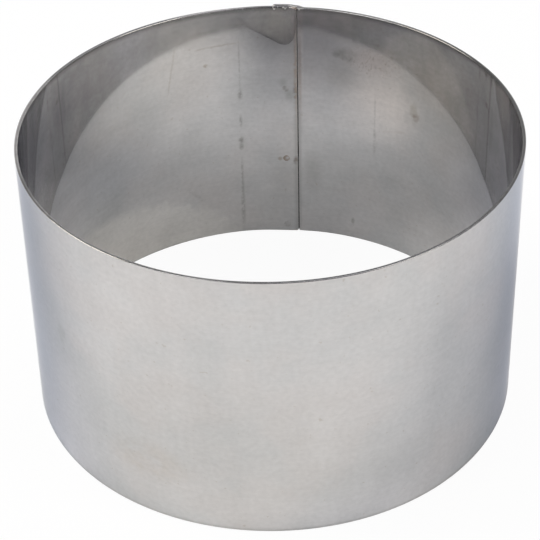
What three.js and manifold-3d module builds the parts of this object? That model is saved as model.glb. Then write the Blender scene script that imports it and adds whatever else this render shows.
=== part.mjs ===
// Pastry ring: one strip of stainless sheet, rolled into an open hoop that stands on its rim.
// The strip's ends overlap at the back (+Y). The outer end is stepped outwards by a sheet's
// thickness, lies as a tab over the inner end, and a column of spot welds holds the two together.
// Millimetres, +Z up, origin at the centre of the hoop on the plane of its bottom rim.
import * as THREE from "three";
import { mergeVertices } from "three/addons/utils/BufferGeometryUtils.js";
import Module from "manifold-3d";

// Hoop
const outerDiameter = 100;
const height = 60;
const sheet = 0.7; // thickness of the strip
const edgeRound = 0.12; // deburred edges of the strip

// Lap of the strip's two ends
const lapLength = 5.4; // tab that covers the inner end
const lapGap = 0.1; // air between the two layers
const stepLength = 1.7; // run of the outward step
const stepGap = 0.1; // from the inner end's cut to the top of the step
const lapPress = 0.3; // how far the welding jaws press the lap in from the round

// Spot welds, from the bottom rim to the top rim
const weldCount = 4;
const weldDiameter = 2.8;
const weldMargin = 0.5; // bare metal between a rim and the weld next to it
const weldDent = 0.08; // dish that the electrodes leave at either end of a weld
const weldClear = 0.05; // fit of a weld in its seat through both layers

// Fineness of the curves
const wallSteps = 132;
const bendSteps = 12;
const stepSteps = 8;
const tabSteps = 6;
const edgeSteps = 2;
const weldSides = 24;
const dentSteps = 3;

// What follows from the sizes
const wallRadius = outerDiameter / 2 - sheet / 2; // middle of the sheet
const pressSpread = Math.sqrt(2 * lapPress * wallRadius); // leaves the middle of the lap flat
const layerRise = sheet + lapGap; // from the inner layer to the outer one
const lapHalf = lapLength / 2 / wallRadius; // angles from here on, about Z and from +Y
const stepTop = lapHalf + stepGap / wallRadius;
const stepFoot = stepTop + stepLength / wallRadius;
const bendReach = stepFoot + (2 * pressSpread) / wallRadius; // the wall is round beyond this
const seamY = wallRadius - lapPress + layerRise / 2; // middle of the two layers at the welds
const seamDepth = layerRise + sheet; // both layers, from face to face

const steel = new THREE.MeshStandardMaterial({ color: 0xc6c8cb, roughness: 0.22, metalness: 1 });
const weldMetal = new THREE.MeshStandardMaterial({ color: 0x8d8378, roughness: 0.45, metalness: 1 });

// Distance of the sheet's middle from the axis. The angle runs on past a full turn to the tab.
function layerRadius(angle) {
  const around = Math.atan2(Math.sin(angle), Math.cos(angle));
  const press = lapPress * Math.exp(-(((around * wallRadius) / pressSpread) ** 2));
  return wallRadius - press + stepRise(angle);
}

// The step: none on the first pass of the lap, a smooth rise at its foot on the second.
function stepRise(angle) {
  const secondPass = angle + 2 * Math.PI;
  const climb = THREE.MathUtils.clamp((stepFoot - secondPass) / (stepFoot - stepTop), 0, 1);
  return (layerRise * (1 - Math.cos(Math.PI * climb))) / 2;
}

function middlePoint(angle) {
  const radius = layerRadius(angle);
  return new THREE.Vector2(radius * Math.sin(angle), radius * Math.cos(angle));
}

// A point on the sheet's outer (+1) or inner (-1) face, square to its middle line.
function facePoint(angle, side) {
  const hair = 1e-4; // angle to either side that gives the direction of the strip
  const along = middlePoint(angle - hair).sub(middlePoint(angle + hair)).normalize();
  const outward = new THREE.Vector2(along.y, -along.x);
  return middlePoint(angle).addScaledVector(outward, (side * sheet) / 2);
}

function spread(from, to, count) {
  return Array.from({ length: count }, (_, i) => from + ((to - from) * i) / count);
}

// Angles along the strip, from the cut of the inner end, once round, to the cut of the tab.
function stripAngles() {
  const turn = 2 * Math.PI;
  return [
    ...spread(lapHalf, -lapHalf, tabSteps),
    ...spread(-lapHalf, -bendReach, bendSteps),
    ...spread(-bendReach, bendReach - turn, wallSteps),
    ...spread(bendReach - turn, stepFoot - turn, bendSteps),
    ...spread(stepFoot - turn, stepTop - turn, stepSteps),
    ...spread(stepTop - turn, -lapHalf - turn, tabSteps),
    -lapHalf - turn,
  ];
}

// The strip standing on edge: its plan outline drawn up to the full height, with rounded edges.
function bandGeometry() {
  const angles = stripAngles();
  const outside = angles.map((angle) => facePoint(angle, 1));
  const inside = angles.map((angle) => facePoint(angle, -1));
  const plan = new THREE.Shape([...outside, ...inside.reverse()]);
  const band = new THREE.ExtrudeGeometry(plan, {
    depth: height - 2 * edgeRound,
    bevelEnabled: true,
    bevelThickness: edgeRound,
    bevelSize: edgeRound,
    bevelOffset: -edgeRound,
    bevelSegments: edgeSteps,
  });
  return band.translate(0, 0, edgeRound);
}

// Heights of the welds, evenly pitched between the two rims.
function weldHeights() {
  const first = weldMargin + weldDiameter / 2;
  const pitch = (height - 2 * first) / (weldCount - 1);
  return Array.from({ length: weldCount }, (_, i) => first + i * pitch);
}

// A weld: a slug through both layers, flush at its edge and dished in the middle of both ends.
function weldGeometry() {
  const radius = weldDiameter / 2;
  const end = Array.from({ length: dentSteps + 1 }, (_, i) => {
    const out = i / dentSteps;
    return new THREE.Vector2(radius * out, seamDepth / 2 - weldDent * (1 - out ** 2));
  });
  const below = end.map((point) => new THREE.Vector2(point.x, -point.y));
  return new THREE.LatheGeometry([...below, ...end.reverse()], weldSides);
}

// The hole that a weld fills, a little wider than the weld and open at both faces of the lap.
function weldSeat(z) {
  const radius = weldDiameter / 2 + weldClear;
  return new THREE.CylinderGeometry(radius, radius, 2 * seamDepth, weldSides).translate(0, seamY, z);
}

const wasm = await Module();
wasm.setup();

function solidOf(geometry) {
  const sameVertex = 1e-4;
  const bare = geometry.index ? geometry.toNonIndexed() : geometry.clone();
  bare.deleteAttribute("normal");
  bare.deleteAttribute("uv");
  const closed = mergeVertices(bare, sameVertex);
  return new wasm.Manifold(
    new wasm.Mesh({
      numProp: 3,
      vertProperties: closed.attributes.position.array,
      triVerts: new Uint32Array(closed.index.array),
    }),
  );
}

function geometryOf(solid) {
  const mesh = solid.getMesh();
  return new THREE.BufferGeometry()
    .setAttribute("position", new THREE.BufferAttribute(mesh.vertProperties, 3))
    .setIndex(new THREE.BufferAttribute(mesh.triVerts, 1));
}

function named(name, geometry, material) {
  const mesh = new THREE.Mesh(geometry, material);
  mesh.name = name;
  return mesh;
}

function ringBand() {
  const seated = weldHeights().reduce(
    (band, z) => band.subtract(solidOf(weldSeat(z))),
    solidOf(bandGeometry()),
  );
  return named("ring_band", geometryOf(seated), steel);
}

function spotWelds() {
  return weldHeights().map((z, i) => {
    const weld = named(`spot_weld_${i + 1}`, weldGeometry(), weldMetal);
    weld.position.set(0, seamY, z);
    return weld;
  });
}

const pastryRing = new THREE.Group();
pastryRing.add(ringBand(), ...spotWelds());

export default pastryRing;
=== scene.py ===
import math
import random

import bmesh
import bpy
from mathutils import Matrix, Vector


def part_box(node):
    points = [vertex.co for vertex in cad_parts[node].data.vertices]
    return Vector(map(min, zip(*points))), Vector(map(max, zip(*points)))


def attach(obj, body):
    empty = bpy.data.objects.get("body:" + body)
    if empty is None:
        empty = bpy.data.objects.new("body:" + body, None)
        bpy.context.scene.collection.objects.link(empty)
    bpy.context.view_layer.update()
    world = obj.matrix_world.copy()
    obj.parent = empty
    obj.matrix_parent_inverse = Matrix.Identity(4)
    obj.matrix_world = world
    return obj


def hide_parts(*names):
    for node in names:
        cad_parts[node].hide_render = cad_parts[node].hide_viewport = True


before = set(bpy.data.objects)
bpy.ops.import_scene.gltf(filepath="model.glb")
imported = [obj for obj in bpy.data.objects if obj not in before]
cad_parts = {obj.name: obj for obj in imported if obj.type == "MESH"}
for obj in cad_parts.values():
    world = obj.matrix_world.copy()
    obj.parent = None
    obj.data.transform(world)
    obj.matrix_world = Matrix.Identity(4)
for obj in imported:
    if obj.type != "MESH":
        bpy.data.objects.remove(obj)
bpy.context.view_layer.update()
scene = bpy.context.scene
mm = 0.001
turn = 2 * math.pi
print("frame loaded:", ", ".join(sorted(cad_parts)))


# Shader nodes

class Value:  # a socket that can stand in a sum
    def __init__(self, graph, socket):
        self.graph = graph
        self.socket = socket

    def __add__(self, other):
        return self.graph.maths("ADD", self, other)

    def __radd__(self, other):
        return self.graph.maths("ADD", other, self)

    def __sub__(self, other):
        return self.graph.maths("SUBTRACT", self, other)

    def __rsub__(self, other):
        return self.graph.maths("SUBTRACT", other, self)

    def __mul__(self, other):
        return self.graph.maths("MULTIPLY", self, other)

    def __rmul__(self, other):
        return self.graph.maths("MULTIPLY", other, self)

    def __truediv__(self, other):
        return self.graph.maths("DIVIDE", self, other)

    def __rtruediv__(self, other):
        return self.graph.maths("DIVIDE", other, self)

    def __pow__(self, other):
        return self.graph.maths("POWER", self, other)

    def __rpow__(self, other):
        return self.graph.maths("POWER", other, self)

    def __abs__(self):
        return self.graph.maths("ABSOLUTE", self)


class Graph:  # the node tree of a material or the world
    def __init__(self, owner):
        owner.use_nodes = True
        self.tree = owner.node_tree
        self.tree.nodes.clear()

    def node(self, kind, settings, sockets, out=0):
        made = self.tree.nodes.new("ShaderNode" + kind)
        for name, setting in settings.items():
            setattr(made, name, setting)
        for name, given in sockets.items():
            if isinstance(given, Value):
                self.tree.links.new(given.socket, made.inputs[name])
            else:
                made.inputs[name].default_value = given
        return Value(self, made.outputs[out]) if made.outputs else None

    def maths(self, operation, *terms):
        return self.node("Math", {"operation": operation}, dict(enumerate(terms)))

    def ramp(self, value, start, end):  # 0 at start, 1 at end, smooth between
        return self.node("MapRange", {"interpolation_type": "SMOOTHSTEP"},
                         {"Value": value, "From Min": start, "From Max": end})

    def tint(self, share, plain, toned):
        return self.node("Mix", {"data_type": "RGBA"}, {0: share, 6: plain, 7: toned}, out=2)

    def noise(self, x, y, scale, detail, seed=0.0):
        place = self.node("CombineXYZ", {}, {"X": x, "Y": y, "Z": seed})
        return self.node("TexNoise", {}, {"Vector": place, "Scale": scale, "Detail": detail})

    def bump(self, height, strength, depth):
        return self.node("Bump", {}, {"Height": height, "Strength": strength, "Distance": depth})

    def sheetPlace(self, layer):  # millimetres along and up the sheet
        strip = self.node("UVMap", {"uv_map": layer}, {})
        return [self.node("SeparateXYZ", {}, {"Vector": strip}, out=axis) for axis in "XY"]

    def blot(self, u, v, at, size, soft):  # 1 inside an oval, fading out at its edge
        reach = (((u - at[0]) / size[0]) ** 2 + ((v - at[1]) / size[1]) ** 2) ** 0.5
        return 1 - self.ramp(reach, 1 - soft, 1 + soft)

    def scratch(self, u, v, start, end, width):  # 1 on a straight line, fading at both ends
        length = math.dist(start, end)
        x, y = (end[0] - start[0]) / length, (end[1] - start[1]) / length
        along = (u - start[0]) * x + (v - start[1]) * y
        aside = abs((u - start[0]) * y - (v - start[1]) * x)
        full, fading = length * 0.15, length * 0.7
        core, brink = width * 0.3, width * 0.8
        fade = self.ramp(along, 0, full) * (1 - self.ramp(along, fading, length))
        return (1 - self.ramp(aside, core, brink)) * fade

    def metal(self, colour, rough, sockets):  # a bare metal's shader, joined to the output
        shader = self.node("BsdfPrincipled", {}, {
            "Base Color": colour, "Metallic": 1.0, "Roughness": rough, **sockets})
        self.node("OutputMaterial", {}, {"Surface": shader})


def newFinish(name, layer):  # a material, its nodes, and the place along and up the sheet
    material = bpy.data.materials.new(name)
    graph = Graph(material)
    u, v = graph.sheetPlace(layer)
    return material, graph, u, v


# Meshes and pieces

def smooth(share):
    share = min(max(share, 0.0), 1.0)
    return share * share * (3 - 2 * share)


def spread(start, end, count):
    return [start + (end - start) * i / count for i in range(count)]


def finishMesh(name, verts, faces, layer, places, slots=None):
    mesh = bpy.data.meshes.new(name)
    mesh.from_pydata(verts, [], faces)
    if slots:
        mesh.polygons.foreach_set("material_index", slots)
    flat = mesh.uv_layers.new(name=layer)
    for loop in mesh.loops:
        flat.data[loop.index].uv = places[loop.vertex_index]
    work = bmesh.new()
    work.from_mesh(mesh)
    bmesh.ops.recalc_face_normals(work, faces=work.faces)
    for face in work.faces:
        face.smooth = True
    work.to_mesh(mesh)
    work.free()
    return mesh


def addPiece(name, mesh, materials, node=None):
    piece = bpy.data.objects.new(name, mesh)
    scene.collection.objects.link(piece)
    for material in materials:
        mesh.materials.append(material)
    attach(piece, "root")
    if node:
        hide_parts(node)
    print("piece:", name, len(mesh.polygons), "faces")


# The band: a rolled strip with a stepped lap at +Y

low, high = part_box("ring_band")
bandSpec = {
    "radius": (high.x - low.x) / 2,  # outside of the round wall
    "height": high.z - low.z,
    "sheet": 0.7 * mm,
    "innerRound": 0.25 * mm,  # deburred rims
    "outerRound": 0.12 * mm,
    "roundLimit": 0.95,  # most of half the sheet that one rounding takes
    "cutRound": 0.14 * mm,  # edges of the strip's two ends
    "cutColumns": (0, 0.08, 0.3, 0.6, 1, 1.2),  # where the mesh has columns, as shares of the rounding
    "cornerRound": 0.55 * mm,  # corners of the strip's two ends
    "cornerColumns": (0.7, 1),
    "lapLength": 5.4 * mm,
    "lapGap": 0.1 * mm,
    "lapPress": 0.3 * mm,  # how far the lap is pressed in from the round
    "stepLength": 1.7 * mm,
    "stepGap": 0.04 * mm,
    "stepLead": 0.09,  # share of the step's rise that is a gentle run-in, on the inner face
    "stepBreak": (0.908, 0.965),  # share of its length before the steep part, at the foot and the top
    "grooveClose": (34 * mm, 48 * mm),  # the groove at the cut end draws shut between these heights
    "lapLean": math.radians(2.6),  # the top of the lap leans out, drawn by the last weld
    "leanFoot": 50.1 * mm,  # lowest point of the crease, which rises to either side
    "leanTip": 1.2 * mm,  # how round the crease is there
    "leanRise": (0.7, 1.3),  # its slope to the left and to the right
    "leanWidth": (9 * mm, 2.0 * mm),  # how far the lean spreads to the left and to the right
    "leanRun": 1.2 * mm,  # height over which it sets in
    "weldDent": 0.012 * mm,  # depth of the electrode marks
    "dentFlat": 0.3,  # the marks are deepest up to here, in radii of a weld
    "dentFade": 0.9,
    "wallSteps": 180,
    "bendSteps": 40,
    "stepSteps": 40,
    "tabSteps": 24,
    "arcSteps": 6,
    "rowPitch": 1.5 * mm,
    "finePitch": 0.4 * mm,  # rows beside the welds
    "fineRows": 4,
    "leanRows": 28,  # rows where the lap leans
    "leanLead": 1 * mm,  # how far below the crease they start
    "rimSupport": 0.04 * mm,  # from a rim's rounding to the row that holds it
}
weldNodes = ["spot_weld_%d" % n for n in range(1, 5)]
weldPlaces = [sum(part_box(node), Vector()) / 2 for node in weldNodes]
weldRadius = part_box(weldNodes[0])[1].x
middle = bandSpec["radius"] - bandSpec["sheet"] / 2
layerRise = bandSpec["sheet"] + bandSpec["lapGap"]
lapHalf = bandSpec["lapLength"] / 2 / middle
stepTop = lapHalf + bandSpec["stepGap"] / middle
stepFoot = stepTop + bandSpec["stepLength"] / middle
pressSpread = math.sqrt(2 * bandSpec["lapPress"] * middle)  # the lap's middle comes out flat


def seamDistance(angle):  # along the wall from the middle of the lap
    return math.atan2(math.sin(angle), math.cos(angle)) * middle


def stepRise(angle, across, z):  # none on the first pass of the lap; sharper on the inner face
    climb = (stepFoot - angle - turn) / (stepFoot - stepTop)
    opened, shut = bandSpec["stepBreak"]
    begin, end = bandSpec["grooveClose"]
    lead = bandSpec["stepLead"]
    steep = opened + (shut - opened) * smooth((z - begin) / (end - begin))
    inner = lead * smooth(climb / steep) + (1 - lead) * smooth((climb - steep) / (1 - steep))
    depth = across / bandSpec["sheet"] + 0.5
    return layerRise * (inner + (smooth(climb) - inner) * depth)


def layerRadius(angle, across, z):
    press = bandSpec["lapPress"] * math.exp(-(seamDistance(angle) / pressSpread) ** 2)
    return middle - press + stepRise(angle, across, z)


def lapLean(along, z):  # how far the lap leans out above the crease
    side, tip, run = int(along > 0), bandSpec["leanTip"], bandSpec["leanRun"]
    rise = z - bandSpec["leanFoot"] - bandSpec["leanRise"][side] * (math.hypot(along, tip) - tip)
    out = max(rise, 0.0) ** 2 / (2 * run) if rise < run else rise - run / 2
    return math.tan(bandSpec["lapLean"]) * out * math.exp(-(along / bandSpec["leanWidth"][side]) ** 4)


def weldDish(along, z):
    nearest = min(math.hypot(along, z - place.z) for place in weldPlaces)
    outer = smooth((nearest / weldRadius - bandSpec["dentFlat"]) / bandSpec["dentFade"])
    return bandSpec["weldDent"] * (1 - outer)


def stripPoint(angle, across, z):  # across is measured outwards from the middle of the sheet
    radius = layerRadius(angle, across, z) + across + lapLean(seamDistance(angle), z)
    return Vector((radius * math.sin(angle), radius * math.cos(angle), z))


def stripAngles():
    reach = stepFoot + 2 * pressSpread / middle
    cuts = [(lapHalf, -lapHalf, bandSpec["tabSteps"]),
            (-lapHalf, -reach, bandSpec["bendSteps"]),
            (-reach, reach - turn, bandSpec["wallSteps"]),
            (reach - turn, stepFoot - turn, bandSpec["bendSteps"]),
            (stepFoot - turn, stepTop - turn, bandSpec["stepSteps"]),
            (stepTop - turn, -lapHalf - turn, bandSpec["tabSteps"])]
    inside = [angle for cut in cuts for angle in spread(*cut)]
    ease = [bandSpec["cutRound"] / middle * share for share in bandSpec["cutColumns"]]
    ease += [bandSpec["cornerRound"] / middle * share for share in bandSpec["cornerColumns"]]
    start = [lapHalf - step for step in ease]
    end = [-lapHalf - turn + step for step in ease]
    inside = [angle for angle in inside if end[-1] < angle < start[-1]]
    return start + inside + end[::-1]


def rowHeights():
    edge, top = bandSpec["outerRound"], bandSpec["height"] - bandSpec["outerRound"]
    support = bandSpec["rimSupport"]
    rows = spread(edge, top, round(bandSpec["height"] / bandSpec["rowPitch"]))
    fineRows = range(-bandSpec["fineRows"], bandSpec["fineRows"] + 1)
    rows += [place.z + bandSpec["finePitch"] * step for place in weldPlaces for step in fineRows]
    rows += spread(bandSpec["leanFoot"] - bandSpec["leanLead"], top, bandSpec["leanRows"])
    rows += [edge + support, top - support, top]
    closest = support * 0.9
    kept = [edge]
    for z in sorted(rows):
        if kept[-1] + closest < z <= top:
            kept.append(z)
    return kept


def roundedBy(radius, distance):  # how far a rounded edge draws in at this distance from its end
    rest = max(radius - distance, 0.0)
    return radius - math.sqrt(radius ** 2 - rest ** 2)


def profile(heights, inset, cornerInset):  # (across, height, face) round one section of the strip
    half = bandSpec["sheet"] / 2 - inset
    bottom = inset + cornerInset
    quarter = [math.pi / 2 * (i + 1) / bandSpec["arcSteps"] for i in range(bandSpec["arcSteps"])]
    sides = []
    for side, radius in ((-1, bandSpec["innerRound"]), (1, bandSpec["outerRound"])):
        edge = min(radius, half * bandSpec["roundLimit"])
        scale = (bandSpec["height"] - 2 * bottom - 2 * edge) / (heights[-1] - heights[0])
        rows = [bottom + edge + (z - heights[0]) * scale for z in heights]
        arc = [(side * (half - edge + edge * math.cos(a)), edge * math.sin(a)) for a in quarter]
        sides.append((rows, arc))
    (inRows, inArc), (outRows, outArc) = sides
    points = [(-half, z, "inside") for z in inRows]
    points += [(x, inRows[-1] + y, "edge") for x, y in inArc]
    points += [(x, outRows[-1] + y, "edge") for x, y in outArc[::-1]]
    points += [(half, z, "outside") for z in outRows[::-1]]
    points += [(x, outRows[0] - y, "edge") for x, y in outArc]
    points += [(x, inRows[0] - y, "edge") for x, y in inArc[::-1]]
    return points


def bandMesh():
    angles, heights = stripAngles(), rowHeights()
    verts, faces, slots, places = [], [], [], []
    slotOf = {"inside": 0, "outside": 1, "edge": 2}
    for angle in angles:
        fromEnd = min(angles[0] - angle, angle - angles[-1]) * middle
        section = profile(heights, roundedBy(bandSpec["cutRound"], fromEnd),
                          roundedBy(bandSpec["cornerRound"], fromEnd))
        along = seamDistance(angle)
        innerLayer = angle > -lapHalf
        outerLayer = angle < stepTop - turn
        for across, z, face in section:
            if innerLayer and face == "inside":
                across += weldDish(along, z)
            if outerLayer and face == "outside":
                across -= weldDish(along, z)
            verts.append(stripPoint(angle, across, z))
            places.append((angle * middle / mm, z / mm))
    ring = len(section)
    rows = len(heights)
    for column in range(len(angles) - 1):
        first, second = column * ring, (column + 1) * ring
        for i in range(ring):
            j = (i + 1) % ring
            faces.append((first + i, first + j, second + j, second + i))
            kinds = {section[i][2], section[j][2]}
            slots.append(slotOf[kinds.pop() if len(kinds) == 1 else "edge"])
    rim = ring // 2 - rows
    for first in (0, (len(angles) - 1) * ring):  # the cuts at both ends
        inner = [first + i for i in range(rows)]
        outer = [first + rows + rim + i for i in range(rows)][::-1]
        for i in range(rows - 1):
            faces.append((inner[i], inner[i + 1], outer[i + 1], outer[i]))
        faces.append([first + i for i in range(rows - 1, rows + rim + 1)])
        faces.append([first + i % ring for i in range(ring - rim - 1, ring + 1)])
        slots += [slotOf["edge"]] * (rows + 1)
    return finishMesh("ringBand", verts, faces, "strip", places, slots)


# Finish of the sheet

tones = {
    "steel": (0.585, 0.58, 0.577, 1),
    "warm": (0.597, 0.578, 0.567, 1),
    "cool": (0.572, 0.578, 0.578, 1),
    "heat": (0.36, 0.30, 0.23, 1),
    # painted shade under the rim
    "paintedRimShade": (0.15, 0.145, 0.14, 1),
    # painted shadow at the cut edge beside the welds
    "paintedEdgeShadow": (0.18, 0.15, 0.12, 1),
    # dirt, and the tone of painted shade beside the seam, below the tongue and along the foot
    "dirtAndShade": (0.2, 0.195, 0.175, 1),
    "rust": (0.28, 0.2, 0.16, 1),
    "brown": (0.33, 0.28, 0.22, 1),
    "olive": (0.36, 0.33, 0.25, 1),
    "tan": (0.44, 0.35, 0.28, 1),
    "oliveGrey": (0.46, 0.43, 0.36, 1),
    "greenish": (0.4, 0.41, 0.38, 1),
    "drab": (0.5, 0.46, 0.42, 1),
    "pinkish": (0.7, 0.63, 0.6, 1),
    "pale": (0.82, 0.775, 0.74, 1),
    "milky": (0.74, 0.727, 0.7, 1),
    "silver": (0.78, 0.775, 0.77, 1),
    "coldSilver": (0.78, 0.775, 0.79, 1),
    "slate": (0.43, 0.425, 0.445, 1),
    "greyBlue": (0.49, 0.505, 0.53, 1),
    "bluish": (0.555, 0.56, 0.61, 1),
}
sheetSpec = {
    "seed": {"inside": 2.0, "outside": 31.0},
    "roughness": 0.05,
    "roughVary": {"film": 0.04, "grained": 0.03},
    "anisotropic": 0.5,
    "grainTurn": 0.25,  # the rolling grain runs round the ring
    "bump": (0.06, 0.01 * mm),  # strength and depth of the grain
    "graze": {"inside": (0.96, 0.96, 0.97, 1),  # tone of each face seen flat along the sheet
              # the outside's tone seen flat along the sheet is darker and bluer than plain steel: painted
              # shade for the darker sides of the outer wall
              "outside": (0.63, 0.665, 0.74, 1)},
    "warmth": (0.42, 0.62),  # from the cool patches to the warm ones
    "plainVary": 1.2,  # how unevenly the plain tone lies over them
    "cloudy": {"inside": 0.26, "outside": 0.13},  # broad dull patches
    "banded": {"inside": 0.06, "outside": 0.1},  # upright bands from rolling
    "rubbed": {"inside": 0.12, "outside": 0.04},  # wiping marks that run round the ring
    "mottled": {"inside": 0.25, "outside": 0.24},
    "grained": {"inside": 0.13, "outside": 0.09},
}
sheetNoise = {  # stretch along and up the sheet, scale, detail, step of the seed
    "patches": (1, 1, 0.055, 3, 0),
    "film": (1, 1.3, 0.11, 4, 5),
    "banded": (0.16, 0.015, 1, 2, 7),
    "rubbed": (0.06, 0.45, 1, 3, 8),
    "mottled": (0.9, 1.05, 1, 5, 9),
    "grained": (0.2, 6, 1, 3, 0),
    "ragged": (1, 1, 0.7, 4, 2),  # outlines of broad marks
    "torn": (1, 1, 1.3, 3, 4),  # and of small ones
    "speck": (1, 1, 1.1, 1, 3),
    "pepper": (1, 1, 2.4, 1, 12),
}
hairLines = {"along": (0.09, 0.03), "across": (-0.8, 3.2), "detail": 2, "step": 15}  # slanting scratches
fineMarks = [  # kind, noise levels where it comes in, tone, strength
    ("speck", (0.75, 0.79), "heat", 0.3),
    ("pepper", (0.7, 0.78), "heat", 0.15),
    ("hair", (0.69, 0.75), "pale", 0.12),
]
markSpec = {
    "soft": {"blot": 0.5, "speckle": 0.5, "film": 0.08, "run": 0.9, "shade": 0.9},  # fade at the outline
    "broadFrom": 0.6,  # a blot whose half sizes are larger than this wears as a broad one
    "broadRagged": 0.7,
    "wander": {"film": (4, 2), "broad": (1.6, 2.2), "small": (0.5, 0.9)},  # of the outline, along and up
    "thin": {"film": (-0.1, 0.4), "broad": (0.2, 0.75), "small": (-0.25, 0.05)},  # where it wears through
    "speckle": {"along": 2.4, "up": 1.3, "detail": 2, "seed": 77.0, "levels": (0.54, 0.64)},
}
rightOfLap = -turn * middle / mm  # added to a place on the right of the lap
insideMarks = [  # kind, millimetres from the lap and from the floor, half sizes, tone, strength
    ("scratch", ((-24.8, 54), (-27.8, 39)), 0.35, "brown", 0.25),  # from and to, width
    ("scratch", ((-21, 51.0), (-9, 51.6)), 0.35, "brown", 0.3),
    ("scratch", ((-24, 15), (-19, 9.5)), 0.6, "dirtAndShade", 0.12),
    ("scratch", ((22.5 + rightOfLap, 31.5), (30 + rightOfLap, 33.5)), 0.5, "brown", 0.25),
    ("blot", (-18.1, 46.7), (0.5, 0.4), "brown", 0.6),
    # the pale cloud on the right, partly painted reflection, and the stains round it
    ("shade", (22 + rightOfLap, 39), (7, 8), "pale", 0.95),
    ("blot", (25 + rightOfLap, 41), (7, 8), "pale", 0.45),
    ("shade", (20 + rightOfLap, 49.5), (5, 3), "pinkish", 0.6),
    ("shade", (40 + rightOfLap, 51), (10, 7), "pinkish", 0.2),
    ("shade", (12.8 + rightOfLap, 44.5), (3, 3.5), "dirtAndShade", 0.2),
    ("blot", (13.8 + rightOfLap, 49.4), (2.6, 1.5), "dirtAndShade", 0.5),
    ("speckle", (21 + rightOfLap, 49.5), (7.5, 4), "brown", 0.6),
    ("blot", (30.9 + rightOfLap, 39.2), (1.0, 2.2), "olive", 0.4),
    ("blot", (31.6 + rightOfLap, 38.2), (0.8, 0.9), "rust", 0.6),
    ("shade", (6 + rightOfLap, 17.5), (1.8, 4), "dirtAndShade", 0.22),
    ("shade", (-1, 12), (2.5, 6), "dirtAndShade", 0.12),
    # painted shade: darker left of the seam, below the tongue
    ("shade", (1.6, 45), (1.8, 7), "dirtAndShade", 0.15),
    # broad tones of the wall, mostly painted reflection and painted shade that set how bright it mirrors
    # its surroundings
    ("shade", (-44, 27), (12, 7), "greyBlue", 0.6),
    ("shade", (-76, 32), (16, 40), "bluish", 0.6),
    ("shade", (66 + rightOfLap, 32), (16, 40), "bluish", 0.6),
    ("shade", (75 + rightOfLap, 50), (5, 9), "pale", 0.7),
    ("shade", (-20, 30), (12, 6), "silver", 0.35),
    ("shade", (16 + rightOfLap, 31), (8, 6), "silver", 0.4),
    ("shade", (-55, 52), (13, 6.5), "slate", 0.75),
    ("shade", (50 + rightOfLap, 48), (5.5, 7), "slate", 0.4),
    ("blot", (15.9 + rightOfLap, 4.8), (0.4, 0.9), "dirtAndShade", 0.5),
    # painted reflection: the inner wall lighter and warmer along its foot
    ("film", (-50, -5), (40, 20), "milky", 0.7),
    ("shade", (-154, 60.3), (400, 1), "paintedRimShade", 0.7),  # painted shade under the whole rim
    # the seam, and the tongue of the lap that leans out
    # painted shade: darker on both sides of the seam, widening the dark line of its groove
    ("shade", (2.7, 20), (0.75, 26), "dirtAndShade", 0.38),
    ("shade", (2.8 + rightOfLap, 20), (0.6, 26), "dirtAndShade", 0.38),
    # painted shadow: dark spots at the cut edge beside the two lower welds
    ("blot", (2.2, 38.4), (0.5, 1.8), "dirtAndShade", 0.6),
    ("blot", (2.2, 20.1), (0.5, 1.0), "paintedEdgeShadow", 0.6),
    # a darker, olive tone over the tongue of the lap
    ("shade", (-1.5, 56), (4.5, 4.5), "oliveGrey", 0.32),
    # painted reflection: the inner wall lighter at its foot on both sides of the lap
    ("shade", (-6, 2), (7, 5), "pale", 0.22),
    ("shade", (8 + rightOfLap, 2), (7, 5), "pale", 0.2),
    # painted highlight: lighter round the top of the seam, beside the tongue
    ("shade", (8 + rightOfLap, 58), (6, 2.5), "pale", 0.35),
    ("shade", (3.3 + rightOfLap, 56), (0.7, 5), "pale", 0.6),
    ("shade", (2.0, 57), (0.6, 4), "pale", 0.6),
    ("blot", (-1.5, 20.5), (0.5, 0.45), "brown", 0.6),
    ("shade", (0.9, 37.6), (0.9, 1.2), "dirtAndShade", 0.3),
    ("shade", (-0.6, 41), (0.8, 1), "dirtAndShade", 0.25),
    ("run", (2.3, 44), (0.3, 9), "tan", 0.75),
    ("run", (3.3 + rightOfLap, 44), (0.35, 9), "tan", 0.5),
    # painted highlight: a pale line right of the seam
    ("run", (3.9 + rightOfLap, 48), (0.25, 8), "pale", 0.3),
]
tapeLines = {  # left by tape on the inner face: place along the strip, then (top, foot, width, strength)
    -10.4: [(51.4, 44, 0.35, 0.3), (45, 39, 0.35, 0.2), (39.2, 37, 0.9, 0.55), (32.4, 29.8, 0.6, 0.5),
            (26.6, 25.2, 1.1, 0.65), (24.9, 23.4, 0.9, 0.6), (20.2, 16, 0.5, 0.4), (17, 10.5, 0.55, 0.35),
            (11.6, 2.6, 0.8, 0.45)],
    21.0 + rightOfLap: [(48.2, 47.4, 0.6, 0.25), (39.5, 32, 0.4, 0.22), (31.4, 28.6, 0.6, 0.3),
                        (27.6, 25.2, 0.6, 0.28)],
}
for along, runs in tapeLines.items():
    for top, foot, width, strength in runs:
        halfSizes = (width / 2, (top - foot) / 2)
        insideMarks.append(("run", (along, (top + foot) / 2), halfSizes, "dirtAndShade", strength))
outsideMarks = [
    ("blot", (-134, 13.5), (8, 4.2), "drab", 0.45),
    ("blot", (-112.6, 33), (1.2, 2.2), "greenish", 0.5),
    # painted reflection: the outer wall lighter low down at the front left and the front right
    ("shade", (-109, 6), (11, 15), "coldSilver", 0.7),
    ("shade", (-181, 0), (15, 8), "coldSilver", 0.6),
    # painted shade: a dark line along the foot of the outer wall, where it meets the floor
    ("shade", (-154, 0), (400, 0.45), "dirtAndShade", 0.3),  # along the whole foot
]


def markStyle(kind, size):
    if kind == "film":
        return "film"
    return "broad" if kind != "scratch" and min(size) > markSpec["broadFrom"] else "small"


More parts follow.
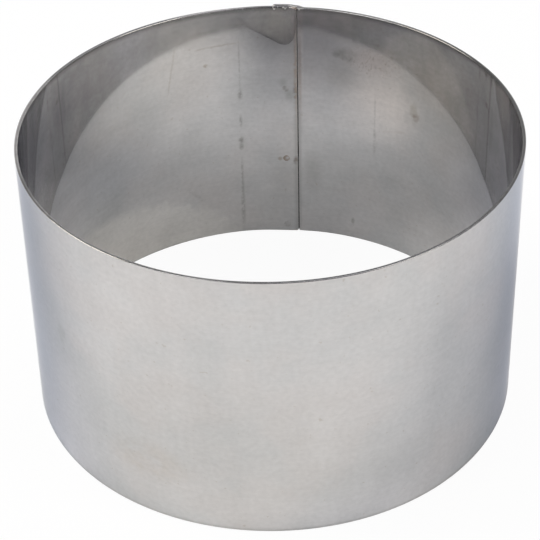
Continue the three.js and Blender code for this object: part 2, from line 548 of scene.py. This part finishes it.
def markMask(graph, u, v, kind, at, size):
    if kind == "scratch":
        return graph.scratch(u, v, *at, size)
    mask = graph.blot(u, v, at, size, markSpec["soft"][kind])
    if kind == "speckle":
        dots = markSpec["speckle"]
        cloud = graph.noise(u * dots["along"], v * dots["up"], 1, dots["detail"], dots["seed"])
        mask = mask * graph.ramp(cloud, *dots["levels"])
    return mask


def sheetFinish(name, face, marks):
    material, graph, u, v = newFinish(name, "strip")
    seed = sheetSpec["seed"][face]
    noise = {}
    for wear, (along, up, scale, detail, step) in sheetNoise.items():
        noise[wear] = graph.noise(u * along, v * up, scale, detail, seed + step)
    (alongU, alongV), (acrossU, acrossV) = hairLines["along"], hairLines["across"]
    noise["hair"] = graph.noise(u * alongU + v * alongV, v * acrossV + u * acrossU, 1,
                                hairLines["detail"], seed + hairLines["step"])
    film, ragged, torn = noise["film"], noise["ragged"] - 0.5, noise["torn"] - 0.5
    colour = graph.tint(graph.ramp(noise["patches"], *sheetSpec["warmth"]), tones["cool"], tones["warm"])
    colour = graph.tint(0.5 + (film - 0.5) * sheetSpec["plainVary"], colour, tones["steel"])
    outline = {"film": ragged, "broad": ragged, "small": torn}
    worn = {"film": film, "broad": film + ragged * markSpec["broadRagged"], "small": torn}
    for kind, at, size, tone, strength in marks:
        if kind == "shade":  # a soft change of tone, not worn; many of these are painted reflection and painted shade
            mask = markMask(graph, u, v, kind, at, size)
        else:
            style = markStyle(kind, size)
            along, up = markSpec["wander"][style]
            mask = markMask(graph, u + outline[style] * along, v + outline[style] * up, kind, at, size)
            mask = mask * graph.ramp(worn[style], *markSpec["thin"][style])
        colour = graph.tint(mask * strength, colour, tones[tone])
    for kind, levels, tone, strength in fineMarks:
        colour = graph.tint(graph.ramp(noise[kind], *levels) * strength, colour, tones[tone])
    fine = 1 + (film + noise["patches"] - 1) * sheetSpec["cloudy"][face]
    for wear in ("banded", "rubbed", "mottled", "grained"):
        fine = fine + (noise[wear] - 0.5) * sheetSpec[wear][face]
    colour = graph.node("VectorMath", {"operation": "SCALE"}, {"Vector": colour, "Scale": fine})
    rough = sheetSpec["roughness"]
    for wear, vary in sheetSpec["roughVary"].items():
        rough = rough + (noise[wear] - 0.5) * vary
    graph.metal(colour, rough, {
        "Normal": graph.bump(noise["grained"], *sheetSpec["bump"]),
        "Specular Tint": sheetSpec["graze"][face],
        "Anisotropic": sheetSpec["anisotropic"],
        "Anisotropic Rotation": sheetSpec["grainTurn"]})
    return material


edgeSpec = {
    "ground": (0.7, 0.68, 0.655, 1),  # brighter tone of the rim at its sides: painted highlight where it catches the light
    "dull": (0.25, 0.245, 0.237, 1),  # and left as it was cut
    "rimHighlightSpans": [(-166, -148, 0.25), (-152, -103, 0.7), (-97, -62, 0.95), (-23, -9, 0.8), (-300, -284, 0.4),
                (-318, -306, 0.5)],  # from, to, how far: millimetres along the strip where the painted highlight lies
    "blend": 6,  # millimetres to either side of where the painted highlight stops
    "even": 0.85,  # share of the painted highlight that lies evenly
    "nicked": 0.8,  # and how far the nicks change it
    "nicks": (0.6, 4),  # scale and detail
    "lapTint": (0.6, 0.5, 0.42, 1),  # tan along the cut at the lap: heat tint, and painted light that lightens the shaded groove
    "lapStainAndLight": {"size": (1.5, 60), "soft": 0.5, "strength": 0.8},
    "roughness": 0.16,
    "roughVary": 0.15,
    "bump": (0.1, 0.02 * mm),
}


def edgeFinish(name):
    material, graph, u, v = newFinish(name, "strip")
    nick = graph.noise(u, v, *edgeSpec["nicks"])
    blend, stain = edgeSpec["blend"], edgeSpec["lapStainAndLight"]
    patchy = edgeSpec["even"] + (nick - 0.5) * edgeSpec["nicked"]
    colour = edgeSpec["dull"]
    # painted highlight: the rim made brighter along these spans, where it catches the light
    for start, end, share in edgeSpec["rimHighlightSpans"]:
        worn = graph.ramp(u, start - blend, start + blend) * (1 - graph.ramp(u, end - blend, end + blend))
        colour = graph.tint(worn * share * patchy, colour, edgeSpec["ground"])
    # tan on the cut at the lap over its whole height: heat tint, and painted light in the shaded groove
    cut = (bandSpec["lapLength"] / 2 / mm, bandSpec["height"] / 2 / mm)
    lap = graph.blot(u, v, cut, stain["size"], stain["soft"])
    colour = graph.tint(lap * stain["strength"], colour, edgeSpec["lapTint"])
    rough = edgeSpec["roughness"] + (nick - 0.5) * edgeSpec["roughVary"]
    graph.metal(colour, rough, {"Normal": graph.bump(nick, *edgeSpec["bump"])})
    return material


insideSheet = sheetFinish("insideSheet", "inside", insideMarks)
outsideSheet = sheetFinish("outsideSheet", "outside", outsideMarks)
cutEdge = edgeFinish("cutEdge")
addPiece("ringBand", bandMesh(), [insideSheet, outsideSheet, cutEdge], "ring_band")


# Spot welds: dished slugs through both layers of the lap

weldSpec = {
    "sides": 40,
    "rings": 10,
    "proud": 0.004 * mm,  # above the dish of the sheet
    "sink": 0.006 * mm,  # the face runs out under the sheet at its edge
    "flat": 0.25,  # share of the radius before it does
    "seedStep": 7.0,
    "cloud": (0.9, 3),  # scale and detail
    "wander": (1.4, 1.9),  # of the outlines, along and up
    "stain": (0.33, 0.24, 0.18, 1),
    "stainLevels": (0.25, 0.6),
    "tint": [0.1, 1.0, 0.15, 0.2],  # brown of each weld, from the bottom up
    "halo": ((0, 0), (0.95, 1.05), 0.6),  # place, half sizes, softness
    "core": ((0.1, 0), (0.3, 0.35), 0.9),  # clean spot in the middle of the halo
    "smudge": [0.25, 0.45, 0.6, 0.05],
    "smudgeLevels": (0.2, 0.6),
    "smudges": [((-0.4, 0.6), (0.6, 0.7), 0.8), ((0.3, -0.6), (0.7, 0.6), 0.8)],
    "rougher": 0.03,  # than the sheet
    "roughVary": 0.1,
    "bump": (0.12, 0.02 * mm),
}


def weldMesh(name, place):
    verts, places = [], []
    sides, rings, flat = weldSpec["sides"], weldSpec["rings"], weldSpec["flat"]
    for inner in (True, False):
        for ring in range(rings + 1):
            out = ring / rings
            fall = (weldSpec["proud"] + weldSpec["sink"]) * smooth((out - flat) / (1 - flat))
            lift = weldSpec["proud"] - fall
            for side in range(sides if ring else 1):
                a = turn * side / sides
                x, up = weldRadius * out * math.cos(a), weldRadius * out * math.sin(a)
                across = bandSpec["sheet"] / 2 - weldDish(x, place.z + up) + lift
                angle = x / middle
                if inner:
                    verts.append(stripPoint(angle, -across, place.z + up))
                else:
                    verts.append(stripPoint(angle - turn, across, place.z + up))
                places.append((x / mm, up / mm))
    faces = []
    cap = 1 + sides * rings
    for first in (0, cap):
        for side in range(sides):
            after = (side + 1) % sides
            faces.append((first, first + 1 + side, first + 1 + after))
            for ring in range(rings - 1):
                near, far = first + 1 + ring * sides, first + 1 + (ring + 1) * sides
                faces.append((near + side, far + side, far + after, near + after))
    edge = 1 + (rings - 1) * sides
    for side in range(sides):
        after = (side + 1) % sides
        faces.append((edge + side, edge + after, cap + edge + after, cap + edge + side))
    return finishMesh(name, verts, faces, "spot", places)


def weldFinish(name, number):
    material, graph, u, v = newFinish(name, "spot")
    cloud = graph.noise(u, v, *weldSpec["cloud"], number * weldSpec["seedStep"])
    along, up = weldSpec["wander"]
    loose, drawn = u + (cloud - 0.5) * along, v + (cloud - 0.5) * up
    halo = graph.blot(loose, drawn, *weldSpec["halo"]) - graph.blot(loose, drawn, *weldSpec["core"])
    halo = halo * graph.ramp(cloud, *weldSpec["stainLevels"])
    colour = graph.tint(halo * weldSpec["tint"][number], tones["steel"], weldSpec["stain"])
    left, right = [graph.blot(loose, drawn, *smudge) for smudge in weldSpec["smudges"]]
    dark = (left + right) * graph.ramp(cloud, *weldSpec["smudgeLevels"])
    colour = graph.tint(dark * weldSpec["smudge"][number], colour, tones["dirtAndShade"])
    rough = sheetSpec["roughness"] + weldSpec["rougher"] + (cloud - 0.5) * weldSpec["roughVary"]
    graph.metal(colour, rough, {"Normal": graph.bump(cloud, *weldSpec["bump"])})
    return material


for number, (node, place) in enumerate(zip(weldNodes, weldPlaces)):
    finish = weldFinish("weldFace%d" % (number + 1), number)
    name = "spotWeld%d" % (number + 1)
    addPiece(name, weldMesh(name, place), [finish], node)


# Burr that the last weld threw up on the rim of the lap

burrSpec = {
    "seed": 11,
    "beads": 16,
    "start": -2.6 * mm,
    "end": 3.3 * mm,
    "radius": (0.07 * mm, 0.19 * mm),
    "hang": 0.45 * mm,  # how far the beads run down the inner face
    "spatter": [-23, -14.5, -9.2, -5.4, 6.1, 8.3, 13.7],  # single beads along the rim, from the lap
    "spatterRadius": (0.06, 0.09),  # both in millimetres
    "spatterHang": 0.15 * mm,
    "across": (-0.35, -0.1),  # place in the thickness of the sheet
    "overhang": 0.12 * mm,  # most that a hanging bead moves inwards
    "sunk": 0.05 * mm,  # below the top of the rim
    "stretch": [(0.8, 1.5), (0.7, 1.2), (0.6, 1.0)],
    "dent": 0.12,
    "dark": (0.5, 0.48, 0.45, 1),
    "bright": (0.75, 0.74, 0.72, 1),
    "cloud": (4.0, 3),  # scale and detail
    "levels": (0.3, 0.7),  # from dark to bright
    "roughness": 0.2,
    "roughVary": 0.2,
}


def burrMesh():
    draw = random.Random(burrSpec["seed"])
    verts, faces, places = [], [], []
    beads = [(draw.uniform(burrSpec["start"], burrSpec["end"]), draw.uniform(*burrSpec["radius"]),
              draw.random() ** 2 * burrSpec["hang"]) for bead in range(burrSpec["beads"])]
    beads += [(along * mm, draw.uniform(*burrSpec["spatterRadius"]) * mm, burrSpec["spatterHang"])
              for along in burrSpec["spatter"]]
    for bead, (along, radius, drop) in enumerate(beads):
        angle = along / middle if along < lapHalf * middle else along / middle - turn
        across = bandSpec["sheet"] * draw.uniform(*burrSpec["across"]) - min(drop, burrSpec["overhang"])
        centre = stripPoint(angle, across, bandSpec["height"] - burrSpec["sunk"] - drop)
        blob = bmesh.new()
        bmesh.ops.create_icosphere(blob, subdivisions=2, radius=radius)
        first = len(verts)
        stretch = Vector([draw.uniform(*limits) for limits in burrSpec["stretch"]])
        for vert in blob.verts:
            dent = 1 + draw.uniform(-burrSpec["dent"], burrSpec["dent"])
            verts.append(centre + vert.co * stretch * dent)
            places.append((vert.co.x / mm + bead, vert.co.z / mm))
        faces += [[first + vert.index for vert in face.verts] for face in blob.faces]
        blob.free()
    return finishMesh("weldBurr", verts, faces, "spot", places)


def burrFinish(name):
    material, graph, u, v = newFinish(name, "spot")
    cloud = graph.noise(u, v, *burrSpec["cloud"])
    colour = graph.tint(graph.ramp(cloud, *burrSpec["levels"]), burrSpec["dark"], burrSpec["bright"])
    graph.metal(colour, burrSpec["roughness"] + cloud * burrSpec["roughVary"], {})
    return material


addPiece("weldBurr", burrMesh(), [burrFinish("burrMetal")])


# Stage, light and camera

stageSpec = {
    "floorSize": 30.0,
    "floorColour": (0.92, 0.92, 0.92, 1),
    "floorWhite": 0.94,  # how far the floor itself is washed out to white, as under a bright exposure
    "floorGlow": {"colour": (0.72, 0.72, 0.73, 1), "start": 0.4, "end": 1.1},  # evenly lit far away
    "background": (0.95, 0.95, 0.95, 1),  # plain pale wall behind the floor
    "horizon": {"colour": (0.72, 0.72, 0.74, 1), "top": 9, "blend": 5},  # pale low down all round
    "roomGlow": {"colour": (0.44, 0.44, 0.46, 1), "top": 34, "blend": 5},  # walls, up to this elevation
    "backdrop": {"colour": (0.66, 0.66, 0.68, 1), "half": 60, "blend": 15},  # brighter round the back
    "ceiling": (0.08, 0.08, 0.09, 1),
    "boxDistance": 1.2,
    "bounces": 24,  # the inner wall mirrors itself many times over
}
softboxes = {
    "leftBox": {"azimuth": 264, "elevation": 46, "size": 0.6, "power": 5.8, "colour": (1.04, 1.0, 0.92)},
    "leftTopBox": {"azimuth": 300, "elevation": 65, "size": 0.6, "power": 3.4, "colour": (0.99, 1.0, 1.02)},
    "rightBox": {"azimuth": 68, "elevation": 41, "size": 0.6, "power": 5.5, "colour": (1.03, 1.0, 0.95)},
    "backBox": {"azimuth": 165, "elevation": 57, "size": 0.6, "power": 2.4, "colour": (0.98, 0.98, 1.06)},
}
cameraSpec = {
    "azimuth": math.radians(4.4),
    "elevation": math.radians(36.47),
    "distance": 370 * mm,
    "aim": {"Y": 0.03, "X": 1.99, "Z": -1.2},  # small turns off the middle of the ring, in degrees
    "lens": 119.7,  # millimetres on a 36 mm sensor
    "shift": -0.15,
    "clip": 0.01,
}


def facing(around, up):  # direction from the ring, azimuth from the front (-Y) towards +X
    return Vector((math.sin(around) * math.cos(up), -math.cos(around) * math.cos(up), math.sin(up)))


def makeFloor():
    size = stageSpec["floorSize"] / 2
    mesh = bpy.data.meshes.new("studioFloor")
    mesh.from_pydata([(-size, -size, 0), (size, -size, 0), (size, size, 0), (-size, size, 0)], [],
                     [(0, 1, 2, 3)])
    floor = bpy.data.objects.new("studioFloor", mesh)
    scene.collection.objects.link(floor)
    material = bpy.data.materials.new("paleFloor")
    graph = Graph(material)
    plain = graph.node("BsdfDiffuse", {}, {"Color": stageSpec["floorColour"]})
    white = graph.node("Emission", {}, {"Color": (1, 1, 1, 1), "Strength": 1.0})
    place = graph.node("NewGeometry", {}, {}, out="Position")
    away = graph.node("VectorMath", {"operation": "LENGTH"}, {"Vector": place}, out="Value")
    far = stageSpec["floorGlow"]
    evenly = graph.node("Emission", {}, {"Color": far["colour"], "Strength": 1.0})
    farShare = graph.ramp(away, far["start"], far["end"])
    plain = graph.node("MixShader", {}, {0: farShare, 1: plain, 2: evenly})
    seen = graph.node("LightPath", {}, {}, out="Is Camera Ray")
    shader = graph.node("MixShader", {}, {0: seen * stageSpec["floorWhite"], 1: plain, 2: white})
    graph.node("OutputMaterial", {}, {"Surface": shader})
    material.cycles.emission_sampling = "NONE"
    mesh.materials.append(material)


def makeWorld():
    world = bpy.data.worlds.new("softStudio")
    scene.world = world
    graph = Graph(world)
    toward = graph.node("TexCoord", {}, {}, out="Generated")
    x, y, z = [graph.node("SeparateXYZ", {}, {"Vector": toward}, out=axis) for axis in "XYZ"]
    up = graph.maths("ARCSINE", z) * math.degrees(1)
    offBack = abs(graph.maths("ARCTAN2", x, y)) * math.degrees(1)
    back, room, low = stageSpec["backdrop"], stageSpec["roomGlow"], stageSpec["horizon"]
    behind = 1 - graph.ramp(offBack, back["half"] - back["blend"], back["half"] + back["blend"])
    glow = graph.tint(behind, room["colour"], back["colour"])
    above = graph.ramp(up, room["top"] - room["blend"], room["top"] + room["blend"])
    glow = graph.tint(above, glow, stageSpec["ceiling"])
    above = graph.ramp(up, low["top"] - low["blend"], low["top"] + low["blend"])
    glow = graph.tint(above, low["colour"], glow)
    seen = graph.node("LightPath", {}, {}, out="Is Camera Ray")
    glow = graph.tint(seen, glow, stageSpec["background"])
    shader = graph.node("Background", {}, {"Color": glow, "Strength": 1.0})
    graph.node("OutputWorld", {}, {"Surface": shader})
    scene.cycles.max_bounces = stageSpec["bounces"]
    scene.cycles.glossy_bounces = stageSpec["bounces"]


def makeSoftboxes():
    for name, box in softboxes.items():
        light = bpy.data.lights.new(name, "AREA")
        light.shape = "DISK"
        light.size = box["size"]
        light.energy = box["power"]
        light.color = box["colour"]
        lamp = bpy.data.objects.new(name, light)
        scene.collection.objects.link(lamp)
        out = facing(math.radians(box["azimuth"]), math.radians(box["elevation"]))
        lamp.location = out * stageSpec["boxDistance"]
        lamp.rotation_euler = out.to_track_quat("Z", "Y").to_euler()


def makeCamera():
    lens = bpy.data.cameras.new("camera")
    lens.lens = cameraSpec["lens"]
    lens.shift_y = cameraSpec["shift"]
    lens.clip_start = cameraSpec["clip"]
    camera = bpy.data.objects.new("camera", lens)
    scene.collection.objects.link(camera)
    back = facing(cameraSpec["azimuth"], cameraSpec["elevation"])
    right = Vector((0, 0, 1)).cross(back).normalized()
    aim = Matrix((right, back.cross(right), back)).transposed()
    for axis, angle in cameraSpec["aim"].items():
        aim = aim @ Matrix.Rotation(math.radians(angle), 3, axis)
    target = Vector((0, 0, bandSpec["height"] / 2))
    camera.matrix_world = Matrix.Translation(target + back * cameraSpec["distance"]) @ aim.to_4x4()
    scene.camera = camera


makeFloor()
makeWorld()
makeSoftboxes()
makeCamera()
scene.view_settings.view_transform = "Standard"
print("stage set")
